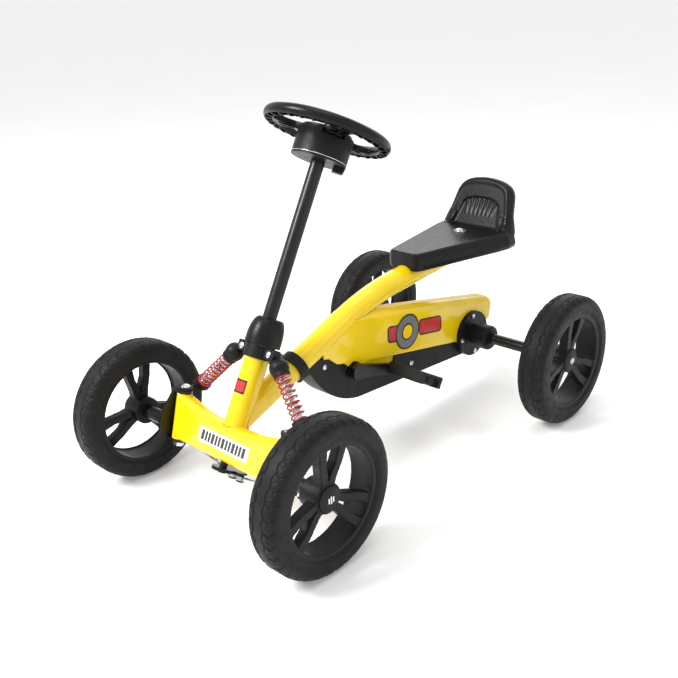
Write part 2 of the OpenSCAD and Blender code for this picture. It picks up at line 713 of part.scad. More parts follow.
spoke_phase = 83.6;
cap_recess = 6;
hub_face = 14;
module rim() difference() {
    union() {
        rotate([0, 90, 0]) rotate_extrude($fn = 96) {
            translate([bead_r - barrel_t, -rim_w / 2]) square([barrel_t, rim_w]);
            translate([bead_r - 1, -rim_w / 2]) square([lip_h + 1, lip_w]);
            translate([rim_r - face_w, rim_w / 2 - lip_w]) square([face_w, lip_w]);
        }
        along_x(hub_r, -rim_w / 2, hub_face);
        intersection() {
            across(-rim_w / 2, rim_w / 2) for (i = [0 : twin_spokes - 1])
                rotate(spoke_phase + 360 * i / twin_spokes) {
                    half_spoke();
                    mirror([0, 1]) half_spoke();
                }
            rotate([0, 90, 0]) rotate_extrude($fn = 96) polygon([
                [0, -6], [hub_r, -6], [bead_r - 1, 6], [bead_r - 1, rim_w / 2 - 2], [hub_r, hub_face - 2],
                [0, hub_face - 2]]);
        }
    }
    along_x(wheel_axle_r + run_gap, -60, 60);
    along_x(hub_cap_r, hub_face - cap_recess, 60);
}

module hub_cap() translate([hub_face - cap_recess, 0, 0]) rotate([0, 90, 0]) difference() {
    intersection() {
        cylinder(r = hub_cap_r, h = cap_recess + 4);
        translate([0, 0, cap_recess + 4 - 60]) sphere(r = 60);
    }
    translate([0, 0, -1]) cylinder(r = wheel_axle_r + 2, h = 3);
}

module front_place(side) translate([side * front_track / 2, front_y, axle_z]) mirror([side < 0 ? 1 : 0, 0, 0])
    children();
module rear_place(side) translate([side * rear_track / 2, rear_y, axle_z]) mirror([side < 0 ? 1 : 0, 0, 0])
    children();

module front_tyre_left() color(rubber) front_place(1) tyre();
module front_rim_left() color(black) front_place(1) rim();
module front_hub_cap_left() color(black) front_place(1) hub_cap();
module front_tyre_right() color(rubber) front_place(-1) tyre();
module front_rim_right() color(black) front_place(-1) rim();
module front_hub_cap_right() color(black) front_place(-1) hub_cap();
module rear_tyre_left() color(rubber) rear_place(1) tyre();
module rear_rim_left() color(black) rear_place(1) rim();
module rear_hub_cap_left() color(black) rear_place(1) hub_cap();
module rear_tyre_right() color(rubber) rear_place(-1) tyre();
module rear_rim_right() color(black) rear_place(-1) rim();
module rear_hub_cap_right() color(black) rear_place(-1) hub_cap();

// ---- Steering ----
// Below the bushes the column is drawn down to a spindle that passes through the beam
module steering_column() color(black) on_column() difference() {
    union() {
        translate([0, 0, pitman_top - pitman_t - 3]) cylinder(r = foot_r, h = foot_top - pitman_top + pitman_t + 4);
        translate([0, 0, foot_top]) cylinder(r = column_r, h = hub_top_s - foot_top - 3);
    }
    translate([0, 0, foot_top + 30]) cylinder(r = column_r - tube_wall, h = hub_top_s);
}

// The pitman plate is welded to the foot of the column and carries the inner pins of both tie rods
pin_r = 4;
eye_h = 6;
bar_half = 20;
pin_gap = 4;
bar_y = 18;
bar_r = 8;
module pitman_plate() color(black) on_column() translate([0, 0, pitman_top - pitman_t]) {
    difference() {
        union() {
            cylinder(r = column_r + 6, h = pitman_t);
            translate([-bar_half, bar_y - bar_r, 0]) cube([2 * bar_half, 2 * bar_r, pitman_t]);
            translate([-pitman_pin_x - 8, 0, 0]) cube([2 * (pitman_pin_x + 8), steer_arm, pitman_t]);
            for (side = [-1, 1]) {
                translate([side * bar_half, bar_y, 0]) cylinder(r = bar_r, h = pitman_t);
                translate([side * pitman_pin_x, steer_arm, 0]) cylinder(r = 8, h = pitman_t);
            }
        }
        translate([0, 0, -1]) cylinder(r = foot_r, h = pitman_t + 2);
    }
    for (side = [-1, 1]) translate([side * pitman_pin_x, steer_arm, 0]) {
        translate([0, 0, -eye_h - pin_gap - 0.6]) cylinder(r = pin_r, h = eye_h + pin_gap + 0.6 + eps);
        translate([0, 0, -eye_h - pin_gap - 2.6]) cylinder(r = pin_r + 2, h = 2);
    }
}

grip_depth = 9;
module spoke_outline() polygon([[20, -17], [20, 17], [48, 11], [62, 12], [ring_r - 2, 26], [ring_r - 2, -26],
                                [62, -12], [48, -11]]);
module steering_wheel() color(black) on_column() difference() {
    union() {
        translate([0, 0, ring_s]) rotate_extrude($fn = 96) translate([ring_r, 0]) circle(r = rim_grip_r);
        intersection() {
            for (a = [90, 210, 330]) rotate(a) translate([0, 0, hub_top_s - 8]) linear_extrude(24)
                spoke_outline();
            translate([0, 0, hub_top_s]) rotate_extrude() polygon([[0, -6], [hub_housing_r, -6],
                [ring_r, -1], [ring_r, 8], [hub_housing_r, 5], [0, 5]]);
        }
        translate([0, 0, hub_top_s]) cylinder(r = hub_housing_r - 4, h = 5);
        translate([0, 0, hub_top_s + 5 - 70]) intersection() {
            sphere(r = 77);
            translate([0, 0, 66]) cylinder(r = 30, h = 20);
        }
        translate([0, 0, column_len + 6]) cylinder(r = column_r + 6, h = 33);
    }
    translate([0, 0, column_len - 2]) cylinder(r = column_r, h = hub_top_s - column_len + 2);
}

module hub_housing() color(black) on_column() difference() {
    translate([0, 0, column_len]) cylinder(r = hub_housing_r, h = hub_top_s - column_len);
    translate([0, 0, column_len - 1]) cylinder(r = hub_housing_r - 3, h = hub_top_s - column_len + 2);
    translate([0, 0, hub_top_s - 7]) for (a = [90, 210, 330]) rotate(a) translate([20, -18, 0]) cube([40, 36, 10]);
}

module hub_base_cover() color(black) on_column() difference() {
    union() {
        translate([0, 0, column_len - 4]) cylinder(r = hub_housing_r, h = 4);
        translate([0, 0, column_len]) cylinder(r = hub_housing_r - 3, h = 5);
        rotate(50) translate([24, -7, column_len - 13]) cube([16, 14, 11]);
    }
    translate([0, 0, column_len - 12]) cylinder(r = column_r, h = 30);
}

module hub_screw() color(steel) on_column() rotate(50) translate([40, 0, column_len - 8.6]) rotate([0, 90, 0])
    screw_head(3.8, 3);

// ---- Knuckles and tie rods ----
web_in = 15;
web_t = 5;
web_x = kingpin_x + web_in;
ear_top = kingpin_tube_top + ear_gap + ear_t;
knuckle_low = -beam_below - ear_gap - ear_t;
arm_pin_r = 3;
arm_pin_gap = 2.5;
tie_eye = 5;
module knuckle() difference() {
    union() {
        on_kingpin(1) {
            translate([0, 0, kingpin_tube_top + ear_gap]) ear();
            translate([0, 0, knuckle_low]) ear();
            across(web_in, web_in + web_t) polygon([
                [11, knuckle_low], [11, ear_top], [-7, ear_top], [-29, 7], [-29, -17], [-7, knuckle_low]]);
            translate([0, 0, knuckle_low]) linear_extrude(ear_t)
                polygon([[-8, 0], [12, 0], [pitman_pin_x + 7, steer_arm], [pitman_pin_x - 7, steer_arm]]);
            translate([pitman_pin_x, steer_arm, knuckle_low]) {
                cylinder(r = 7, h = ear_t);
                translate([0, 0, -tie_eye - 2 * arm_pin_gap]) cylinder(r = arm_pin_r, h = tie_eye + 2 * arm_pin_gap + 1);
                translate([0, 0, -tie_eye - 2 * arm_pin_gap - 2]) cylinder(r = arm_pin_r + 3, h = 2);
            }
        }
        translate([0, front_y, axle_z]) {
            along_x(11, web_x, front_track / 2 - hub_in);
            along_x(wheel_axle_r, web_x, front_track / 2 + 8);
        }
    }
    on_kingpin(1) translate([0, 0, -80]) cylinder(r = kingpin_r + run_gap, h = 160);
}
module ear() {
    cylinder(r = 12, h = ear_t);
    translate([0, -12, 0]) cube([web_in + web_t, 24, ear_t]);
}
module knuckle_left() color(black) knuckle();
module knuckle_right() color(black) mirror([1, 0, 0]) knuckle();

// Tie rod: the inner eye turns on the pitman's pin, the outer eye sits loosely round the knuckle's pin
inner_s = pitman_top - pitman_t - pin_gap - eye_h / 2;
inner_eye = [pitman_pin_x, foot_y + inner_s * sin(rake) + steer_arm * cos(rake),
             axle_z + inner_s * cos(rake) - steer_arm * sin(rake)];
outer_w = knuckle_low - arm_pin_gap - tie_eye / 2;
outer_eye = [kingpin_x + pitman_pin_x, kingpin_y + outer_w * sin(caster) + steer_arm * cos(caster),
             axle_z + outer_w * cos(caster) - steer_arm * sin(caster)];
outer_hole_r = arm_pin_r + 1.6;
module tie_rod() {
    rod_v = outer_eye - inner_eye;
    difference() {
        union() {
            translate(inner_eye) rotate([-rake, 0, 0]) cylinder(r = 7.5, h = eye_h, center = true);
            translate(outer_eye) rotate([-caster, 0, 0]) cylinder(r = 8, h = tie_eye, center = true);
            translate(inner_eye) rotate([0, acos(rod_v[2] / norm(rod_v)), atan2(rod_v[1], rod_v[0])])
                translate([0, 0, 6]) cylinder(r = 2.5, h = norm(rod_v) - 12);
            translate(inner_eye) rotate([0, acos(rod_v[2] / norm(rod_v)), atan2(rod_v[1], rod_v[0])])
                translate([0, 0, 46]) cylinder(r = 4, h = norm(rod_v) - 62);
        }
        translate(inner_eye) rotate([-rake, 0, 0]) cylinder(r = pin_r + run_gap, h = 40, center = true);
        translate(outer_eye) rotate([-caster, 0, 0]) cylinder(r = outer_hole_r, h = 40, center = true);
    }
}
module tie_rod_left() color(steel) tie_rod();
module tie_rod_right() color(steel) mirror([1, 0, 0]) tie_rod();

// ---- Seat ----
seat_round = 8;
pan_h = 32;
back_y = seat_bolt_y + 40;
module corner(x, y, z) for (side = [-1, 1]) translate([side * (x - seat_round), y, z])
    sphere(r = seat_round, $fn = 24);
module seat_shell() color(black) difference() {
    translate([0, 0, pan_top]) union() {
        hull() {
            corner(40, seat_front_y + 12, 2 - seat_round);
            corner(40, seat_front_y + 12, -26 + seat_round);
            corner(seat_half - 4, seat_bolt_y - 20, -seat_round - 2);
            corner(seat_half, seat_bolt_y - 20, -pan_h + seat_round);
            corner(seat_half - 4, seat_bolt_y + 36, -pan_h + seat_round);
            corner(seat_half - 6, seat_bolt_y + 40, -seat_round);
        }
        hull() {
            corner(seat_half - 3, back_y - 4, -pan_h + 24);
            corner(seat_half - 4, back_y + 20, -4);
            corner(seat_half - 4, back_y + 24, 20);
            corner(seat_half - 8, back_y + 34, back_rise - 40);
            corner(seat_half - 8, back_y + 48, back_rise - 40);
            corner(42, back_y + 40, back_rise - seat_round - 2);
            corner(42, back_y + 50, back_rise - seat_round - 2);
            corner(16, back_y + 42, back_rise - seat_round);
            corner(16, back_y + 52, back_rise - seat_round);
        }
    }
    on_seat_tube() cylinder(r = tube_r + run_gap, h = seat_run + 3 + seat_travel + 2);
    translate([0, 0, pan_top - pan_h - 20]) linear_extrude(pan_h + 20 - seat_wall - 1) polygon([
        for (side = [1, -1], i = [0 : 3]) let (k = side > 0 ? i : 3 - i) [
            side * [40 - seat_wall, seat_half - seat_wall - 6, seat_half - seat_wall - 4, seat_half - 16][k],
            [seat_front_y - 20, seat_bolt_y - 30, seat_bolt_y + 20, seat_bolt_y + 34][k]
        ]
    ]);
    translate([0, seat_bolt_y, 0]) cylinder(r = 4.5, h = 600);
    translate([0, seat_bolt_y, pan_top - 2]) cylinder(r = 14, h = 20);
}

saddle_half = 26;
saddle_len = 44;
module seat_saddle() color(black) difference() {
    translate([-saddle_half, seat_bolt_y - saddle_len / 2, pan_top - seat_wall - 1 - 24])
        cube([2 * saddle_half, saddle_len, 24]);
    tube_shape(tube_r + slide_gap);
    translate([0, seat_bolt_y, 0]) cylinder(r = 4.5, h = 600);
}

module seat_bolt() color(steel) translate([0, seat_bolt_y, 0]) {
    translate([0, 0, pan_top - 30]) cylinder(r = 4, h = 29);
    translate([0, 0, pan_top - 2]) cylinder(r = 12, h = 1.5);
    translate([0, 0, pan_top - 0.5]) screw_head(8, 4);
    translate([-7, -8, pan_top - 26]) cube([14, 16, 6]);
}

head_tube();
main_tube();
front_beam();
kingpin_tubes();
frame_plates();
tube_end_plug();
cover_left();
cover_right();
guard_left();
guard_right();
bearing_flange_left();
bearing_flange_right();
rear_axle_bushes();
crank_bushes();
column_bushes();
head_collar();
tube_band();
column_boot();
kingpins();
shock_brackets();
shock_caps();
shock_springs();
shock_rods();
frame_screws();
chain();
steering_column();
pitman_plate();
steering_wheel();
hub_housing();
hub_base_cover();
hub_screw();
knuckle_left();
knuckle_right();
tie_rod_left();
tie_rod_right();
front_tyre_left();
front_rim_left();
front_hub_cap_left();
front_tyre_right();
front_rim_right();
front_hub_cap_right();
rear_axle();
rear_sprocket();
rear_tyre_right();
rear_rim_right();
rear_hub_cap_right();
rear_tyre_left();
rear_rim_left();
rear_hub_cap_left();
crank_axle();
chainring();
crank_arms();
pedal_left();
pedal_right();
seat_shell();
seat_saddle();
seat_bolt();
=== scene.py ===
"""Looks of a child's pedal go kart, built round its CAD frame.

Metres. The kart's front faces -Y, the driver's left is +X and the ground is z = 0.
"""
import bpy
import bmesh
import json
from math import cos, pi, radians, sin
from mathutils import Matrix, Vector
from mathutils.bvhtree import BVHTree

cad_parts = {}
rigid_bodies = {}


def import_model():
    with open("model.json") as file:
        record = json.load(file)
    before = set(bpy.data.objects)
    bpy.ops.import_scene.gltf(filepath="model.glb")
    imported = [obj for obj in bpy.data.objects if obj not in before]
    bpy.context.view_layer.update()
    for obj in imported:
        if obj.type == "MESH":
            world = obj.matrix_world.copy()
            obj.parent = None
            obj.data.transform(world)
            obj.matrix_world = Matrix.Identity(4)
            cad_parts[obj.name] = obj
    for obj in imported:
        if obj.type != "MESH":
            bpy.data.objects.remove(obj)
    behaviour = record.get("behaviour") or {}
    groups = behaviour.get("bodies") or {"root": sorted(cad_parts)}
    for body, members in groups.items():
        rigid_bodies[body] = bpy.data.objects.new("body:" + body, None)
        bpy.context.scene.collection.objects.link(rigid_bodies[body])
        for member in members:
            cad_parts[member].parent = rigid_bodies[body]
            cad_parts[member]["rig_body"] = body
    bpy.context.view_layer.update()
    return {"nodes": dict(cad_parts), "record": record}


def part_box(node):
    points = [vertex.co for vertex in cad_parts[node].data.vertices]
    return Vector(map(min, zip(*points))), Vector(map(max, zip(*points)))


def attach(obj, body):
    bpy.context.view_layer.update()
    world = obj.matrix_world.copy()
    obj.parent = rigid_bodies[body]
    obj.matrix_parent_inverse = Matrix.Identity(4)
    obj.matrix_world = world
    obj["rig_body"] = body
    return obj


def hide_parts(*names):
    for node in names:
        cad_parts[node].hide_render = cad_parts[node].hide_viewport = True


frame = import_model()
NODES = frame["nodes"]
SLOT_OF = {s["node"]: s["material_slot"] for s in frame["record"]["subparts"]}
MM = 0.001

# Directions and places that the frame fixes
AXLE_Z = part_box("front_tyre_left")[1].z / 2
FRONT_Y = sum(v.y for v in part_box("front_tyre_left")) / 2
RAKE = radians(29)
CASTER = radians(16)
KINGPIN_Y = FRONT_Y + 16 * MM
FOOT = Vector((0, KINGPIN_Y + 1.3 * MM, AXLE_Z))


def tilted(origin, lean, side=0.0):
    """A frame at origin whose z axis leans back by lean; its y axis points back and down."""
    return Matrix.Translation(Vector(origin) + Vector((side, 0, 0))) @ Matrix.Rotation(-lean, 4, "X")


COLUMN = tilted(FOOT, RAKE)
BEAM = tilted((0, KINGPIN_Y, AXLE_Z), CASTER)


# ---- Materials ----
class Graph:
    """One Principled material, with short calls for the nodes that feed it."""

    def __init__(self, name, **sockets):
        self.mat = bpy.data.materials.new(name)
        self.mat.use_nodes = True
        self.nodes = self.mat.node_tree.nodes
        self.links = self.mat.node_tree.links
        self.shader = self.nodes["Principled BSDF"]
        for key, value in sockets.items():
            self.shader.inputs[key.replace("_", " ")].default_value = value
        self.place = self.nodes.new("ShaderNodeTexCoord").outputs["Object"]

    def add(self, kind, inputs=(), **settings):
        node = self.nodes.new(kind)
        for key, value in settings.items():
            setattr(node, key, value)
        for key, value in dict(inputs).items():
            if isinstance(value, bpy.types.NodeSocket):
                self.links.new(value, node.inputs[key])
            else:
                node.inputs[key].default_value = value
        return node

    def noise(self, scale, detail=3.0, stretch=None):
        place = self.place
        if stretch:
            place = self.add("ShaderNodeMapping", {"Vector": place, "Scale": stretch}).outputs["Vector"]
        return self.add("ShaderNodeTexNoise", {"Vector": place, "Scale": scale, "Detail": detail}).outputs["Fac"]

    def span(self, value, low, high, from_low=0.3, from_high=0.7):
        node = self.add("ShaderNodeMapRange", {"Value": value, "From Min": from_low, "From Max": from_high,
                                               "To Min": low, "To Max": high})
        return node.outputs["Result"]

    def mix(self, factor, a, b):
        node = self.add("ShaderNodeMix", data_type="RGBA")
        self.links.new(factor, node.inputs["Factor"])
        for index, value in ((6, a), (7, b)):
            if isinstance(value, bpy.types.NodeSocket):
                self.links.new(value, node.inputs[index])
            else:
                node.inputs[index].default_value = value
        return node.outputs[2]

    def bump(self, height, strength, distance, normal=None):
        inputs = {"Height": height, "Strength": strength, "Distance": distance}
        if normal:
            inputs["Normal"] = normal
        return self.add("ShaderNodeBump", inputs).outputs["Normal"]

    def soft_edges(self, radius):
        return self.add("ShaderNodeBevel", {"Radius": radius}, samples=4).outputs["Normal"]

    def feed(self, **outputs):
        for key, value in outputs.items():
            self.links.new(value, self.shader.inputs[key.replace("_", " ")])
        return self.mat


def shade(color, factor):
    return tuple(min(1.0, c * factor) for c in color[:3]) + (1.0,)


def paint(name, color, roughness=0.22, edge=0.8 * MM, coat=0.6):
    """Powder coat with a clear, slightly rippled skin."""
    g = Graph(name, Coat_Weight=coat, Coat_Roughness=0.06, Specular_IOR_Level=0.3)
    patch = g.span(g.noise(22.0), 0.0, 1.0)
    base = g.mix(patch, shade(color, 0.93), shade(color, 1.04))
    ripple = g.bump(g.noise(900.0, 2.0), 0.035, 0.0006, g.soft_edges(edge))
    return g.feed(Base_Color=base, Roughness=g.span(g.noise(60.0), roughness * 0.8, roughness * 1.25), Normal=ripple)


def moulding(name, color, roughness=0.42, grain=0.18, grain_scale=1500.0, edge=0.7 * MM):
    """Injection moulded plastic with a fine eroded grain."""
    g = Graph(name, Specular_IOR_Level=0.2)
    patch = g.span(g.noise(30.0), 0.0, 1.0)
    base = g.mix(patch, shade(color, 0.85), shade(color, 1.15))
    eroded = g.bump(g.noise(grain_scale, 4.0), grain, 0.0004, g.soft_edges(edge))
    sunk = g.bump(g.noise(14.0, 1.0), 0.06, 0.004, eroded)
    return g.feed(Base_Color=base, Roughness=g.span(g.noise(80.0), roughness * 0.85, roughness * 1.2), Normal=sunk)


def tyre_rubber(name, color):
    """Moulded rubber: dull, with paler and darker scuffed patches scattered at random and a fine skin."""
    g = Graph(name, Specular_IOR_Level=0.17)
    patch = g.span(g.noise(45.0, 5.0), 0.0, 1.0)
    base = g.mix(patch, shade(color, 0.75), shade(color, 1.35))
    skin = g.bump(g.noise(1100.0, 5.0), 0.22, 0.0005)
    return g.feed(Base_Color=base, Roughness=g.span(g.noise(120.0), 0.42, 0.62), Normal=skin)


def plated(name, color, roughness=0.24, stretch=(1.0, 1.0, 1.0)):
    """Zinc plated or bare steel with a faint brushed skin."""
    g = Graph(name, Metallic=1.0, Anisotropic=0.3)
    patch = g.span(g.noise(110.0, 4.0), 0.0, 1.0)
    base = g.mix(patch, shade(color, 0.86), shade(color, 1.06))
    brushed = g.bump(g.noise(700.0, 3.0, stretch), 0.08, 0.0003, g.soft_edges(0.3 * MM))
    return g.feed(Base_Color=base, Roughness=g.span(g.noise(240.0), roughness * 0.7, roughness * 1.5), Normal=brushed)


def printed(name, color):
    """Printed vinyl film."""
    g = Graph(name, Coat_Weight=0.3, Coat_Roughness=0.12)
    patch = g.span(g.noise(90.0), 0.0, 1.0)
    base = g.mix(patch, shade(color, 0.92), shade(color, 1.05))
    film = g.bump(g.noise(500.0, 2.0), 0.05, 0.0003)
    return g.feed(Base_Color=base, Roughness=g.span(g.noise(140.0), 0.26, 0.4), Normal=film)


MATERIALS = {
    "yellow_paint": paint("yellow_paint", (0.84, 0.585, 0.003)),
    "black_plastic": moulding("black_plastic", (0.0065, 0.0065, 0.0072)),
    "gloss_black_plastic": moulding("gloss_black_plastic", (0.0055, 0.0055, 0.0062), 0.27, 0.10, 1300.0),
    "boot_rubber": moulding("boot_rubber", (0.006, 0.006, 0.0065), 0.33, 0.12, 900.0),
    "black_paint": paint("black_paint", (0.005, 0.005, 0.0055), 0.32, 0.8 * MM, 0.12),
    "zinc_steel": plated("zinc_steel", (0.68, 0.68, 0.70), 0.22),
    "drive_steel": plated("drive_steel", (0.28, 0.27, 0.26), 0.38, (1.0, 6.0, 1.0)),
    "red_paint": paint("red_paint", (0.36, 0.008, 0.012), 0.2, 0.3 * MM),
    "tyre_rubber": tyre_rubber("tyre_rubber", (0.0085, 0.0085, 0.009)),
    "rim_plastic": moulding("rim_plastic", (0.007, 0.0072, 0.008), 0.42, 0.22, 1500.0),
}
PRINT_BLACK = printed("print_black", (0.012, 0.012, 0.013))
PRINT_WHITE = printed("print_white", (0.78, 0.77, 0.74))
PRINT_RED = printed("print_red", (0.50, 0.018, 0.016))
PRINT_GREY = printed("print_grey", (0.16, 0.155, 0.15))
BRIGHT = plated("bright_chrome", (0.78, 0.78, 0.80), 0.12)

for node, obj in NODES.items():
    obj.data.materials.clear()
    obj.data.materials.append(MATERIALS[SLOT_OF[node]])


# ---- Mesh helpers ----
def new_piece(name, mesh, material, place=Matrix.Identity(4)):
    obj = bpy.data.objects.new(name, mesh)
    bpy.context.scene.collection.objects.link(obj)
    obj.matrix_world = place
    mesh.materials.clear()
    mesh.materials.append(material)
    return obj


def mesh_of(name, points, faces, smooth=True):
    mesh = bpy.data.meshes.new(name)
    mesh.from_pydata([tuple(p) for p in points], [], faces)
    mesh.validate()
    mesh.update()
    if smooth:
        mesh.shade_smooth()
    return mesh


def loft(name, loops, closed=False):
    """A skin over loops that hold the same number of points, capped unless it closes on itself."""
    n = len(loops[0])
    points = [p for loop in loops for p in loop]
    faces = []
    for i in range(len(loops) if closed else len(loops) - 1):
        a, b = i * n, (i + 1) % len(loops) * n
        faces += [(a + j, a + (j + 1) % n, b + (j + 1) % n, b + j) for j in range(n)]
    if not closed:
        faces += [tuple(range(n - 1, -1, -1)), tuple(range(len(points) - n, len(points)))]
    return mesh_of(name, points, faces)


def sweep(name, path, radius, sides=12, closed=False):
    """A round bar along a path; radius may be a function of the place along it, from 0 to 1."""
    n = len(path)
    loops = []
    up = None
    for i, p in enumerate(path):
        ahead = path[(i + 1) % n] if closed or i < n - 1 else p
        behind = path[i - 1] if closed or i > 0 else p
        along = (Vector(ahead) - Vector(behind)).normalized()
        if up is None:
            up = along.orthogonal().normalized()
        up = (up - along * up.dot(along)).normalized()
        side = along.cross(up)
        r = radius(i / n) if callable(radius) else radius
        loops.append([Vector(p) + r * (cos(2 * pi * j / sides) * up + sin(2 * pi * j / sides) * side)
                      for j in range(sides)])
    return loft(name, loops, closed)


def smooth_by_angle(mesh, angle=35):
    """Smooth shading with creases where faces meet at more than the angle."""
    mesh.shade_smooth()
    bm = bmesh.new()
    bm.from_mesh(mesh)
    for e in bm.edges:
        e.smooth = len(e.link_faces) == 2 and e.calc_face_angle() < radians(angle)
    bm.to_mesh(mesh)
    bm.free()
    return mesh


def welded_copy(node):
    """The CAD node's mesh with its shared corners joined."""
    mesh = NODES[node].data.copy()
    bm = bmesh.new()
    bm.from_mesh(mesh)
    bmesh.ops.remove_doubles(bm, verts=bm.verts, dist=2e-6)
    bmesh.ops.dissolve_limit(bm, angle_limit=radians(0.4), verts=bm.verts, edges=bm.edges)
    bm.to_mesh(mesh)
    bm.free()
    return mesh


def evaluated(obj):
    """The object's mesh with its modifiers applied; the object is removed."""
    bpy.context.view_layer.update()
    mesh = bpy.data.meshes.new_from_object(obj.evaluated_get(bpy.context.evaluated_depsgraph_get()))
    mesh.transform(obj.matrix_world)
    bpy.data.objects.remove(obj)
    return mesh


def cut(mesh, *cutters):
    """The mesh with each cutter's solid taken away."""
    base = new_piece("cut_base", mesh, MATERIALS["black_plastic"])
    tools = [new_piece("cut_tool", c, MATERIALS["black_plastic"]) for c in cutters]
    for tool in tools:
        step = base.modifiers.new("cut", "BOOLEAN")
        step.operation = "DIFFERENCE"
        step.solver = "EXACT"
        step.use_self = True
        step.object = tool
    result = evaluated(base)
    for tool in tools:
        bpy.data.objects.remove(tool)
    return result


def soften(mesh, voxel, rounds):
    """Rebuilds a closed mesh on an even grid and relaxes it, so its edges turn round as a moulding's do."""
    obj = new_piece("soft", mesh, MATERIALS["black_plastic"])
    step = obj.modifiers.new("grid", "REMESH")
    step.mode = "VOXEL"
    step.voxel_size = voxel
    step.use_smooth_shade = True
    if rounds:
        relax = obj.modifiers.new("relax", "SMOOTH")
        relax.factor = 0.5
        relax.iterations = rounds
    return evaluated(obj)


def stand_in(node, mesh, name=None, material=None):
    """Shows this mesh in place of a CAD node, on the node's own body."""
    obj = new_piece(name or node + "_fine", mesh, material or MATERIALS[SLOT_OF[node]])
    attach(obj, NODES[node]["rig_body"])
    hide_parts(node)
    return obj


def extra(name, mesh, material, body):
    obj = new_piece(name, mesh, material)
    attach(obj, body)
    return obj


# ---- Tyres ----
TYRE_LO, TYRE_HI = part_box("front_tyre_left")
TYRE_R = (TYRE_HI.z - TYRE_LO.z) / 2
TYRE_W = TYRE_HI.x - TYRE_LO.x
RIM_LO, RIM_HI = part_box("front_rim_left")
RIM_R = (RIM_HI.z - RIM_LO.z) / 2
SHOULDER = 14 * MM
BLOCKS = 36


def tyre_profile():
    """(across, radius, distance from the crown's middle) from one bead to the other."""
    half, flat = TYRE_W / 2, TYRE_W / 2 - SHOULDER
    side = [(half - 2.6 * MM, RIM_R - 1.5 * MM), (half - 2.2 * MM, RIM_R + 1.2 * MM), (half - 0.9 * MM, RIM_R + 2.2 * MM),
            (half, RIM_R + 5 * MM), (half, RIM_R + 9 * MM)]
    arc = [(flat + SHOULDER * cos(a), TYRE_R - SHOULDER + SHOULDER * sin(a))
           for a in (radians(90 * i / 20) for i in range(0, 20))]
    crown = [(flat * (1 - i / 12), TYRE_R + 0.0) for i in range(0, 13)]
    right = side + arc + crown
    lengths = [0.0]
    for p, q in zip(right[::-1], right[::-1][1:]):
        lengths.append(lengths[-1] + ((p[0] - q[0]) ** 2 + (p[1] - q[1]) ** 2) ** 0.5)
    right = [(p[0], p[1], d) for p, d in zip(right[::-1], lengths)]
    left = [(-x, r, -d) for x, r, d in right[1:]]
    return left[::-1] + right


def ramp(x, low, high):
    t = max(0.0, min(1.0, (x - low) / (high - low)))
    return t * t * (3 - 2 * t)


def tread_depth(turn, across):
    """How deep the tread is cut at a place; turn runs from 0 to 1 round the tyre, across is in mm."""
    a = abs(across)
    phase = turn * BLOCKS + (0.5 if across > 0 else 0.0)
    wave = 1.2 * sin(2 * pi * phase)
    rib = 1 - ramp(abs(a - 8.5 - wave), 0.5, 1.3)
    kink = abs(((a - 9) / 9) % 2 - 1)
    lean = 0.42 * kink
    across_cut = 1 - ramp(abs((phase + lean) % 1 - 0.5), 0.045, 0.10)
    band = ramp(a, 9, 10.5) * (1 - ramp(a, 25, 29))
    slant = 1 - ramp(abs((2 * phase - lean) % 1 - 0.5), 0.06, 0.14)
    inner_band = ramp(a, 11, 13) * (1 - ramp(a, 17, 19))
    return 2.0 * MM * max(rib, across_cut * band, 0.6 * slant * inner_band)


def tyre_mesh():
    profile = tyre_profile()
    turns = BLOCKS * 18
    loops = []
    for i in range(turns):
        turn = i / turns
        c, s = cos(2 * pi * turn), sin(2 * pi * turn)
        loop = []
        for x, r, d in profile:
            depth = tread_depth(turn, d / MM)
            inward = ramp(abs(x), TYRE_W / 2 - SHOULDER, TYRE_W / 2)
            rr = r - depth * (1 - 0.7 * inward)
            xx = x - (depth * 0.7 * inward if x > 0 else -depth * 0.7 * inward)
            loop.append(Vector((xx, rr * c, rr * s)))
        loops.append(loop)
    n = len(profile)
    points = [p for loop in loops for p in loop]
    faces = []
    for i in range(turns):
        a, b = i * n, (i + 1) % turns * n
        faces += [(a + j, b + j, b + j + 1, a + j + 1) for j in range(n - 1)]
    return mesh_of("tyre", points, faces)


def middle(node):
    lo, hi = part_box(node)
    return (lo + hi) / 2


shared_tyre = tyre_mesh()
for end in ("front", "rear"):
    for side in ("left", "right"):
        node = f"{end}_tyre_{side}"
        mesh = shared_tyre.copy()
        mesh.transform(Matrix.Translation(middle(node)))
        stand_in(node, mesh)

# ---- Rims and hub caps ----
for end in ("front", "rear"):
    for side in ("left", "right"):
        node = f"{end}_rim_{side}"
        stand_in(node, soften(welded_copy(node), 1.1 * MM, 5))
        node = f"{end}_hub_cap_{side}"
        out = 1 if side == "left" else -1
        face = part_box(node)[1 if out > 0 else 0].x
        centre = middle(node)
        stripes = []
        for k in (-1, 0, 1):
            w, h = 1.3 * MM, (5.5 - 1.5 * abs(k)) * MM
            stripes.append([Vector((face + out * 0.12 * MM, centre.y + k * 4.2 * MM + sx * w, centre.z + sz * h))
                            for sx, sz in ((-1, -1), (1, -1), (1, 1), (-1, 1))])
        points = [p for s in stripes for p in s]
        faces = [tuple(range(4 * i, 4 * i + 4)) for i in range(3)]
        mark = extra(f"{end}_cap_mark_{side}", mesh_of("mark", points, faces, False), PRINT_WHITE,
                     NODES[node]["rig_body"])


# ---- Steering wheel ----
RING_S = 488 * MM
RING_R = 90 * MM
RING_TUBE = 9.75 * MM


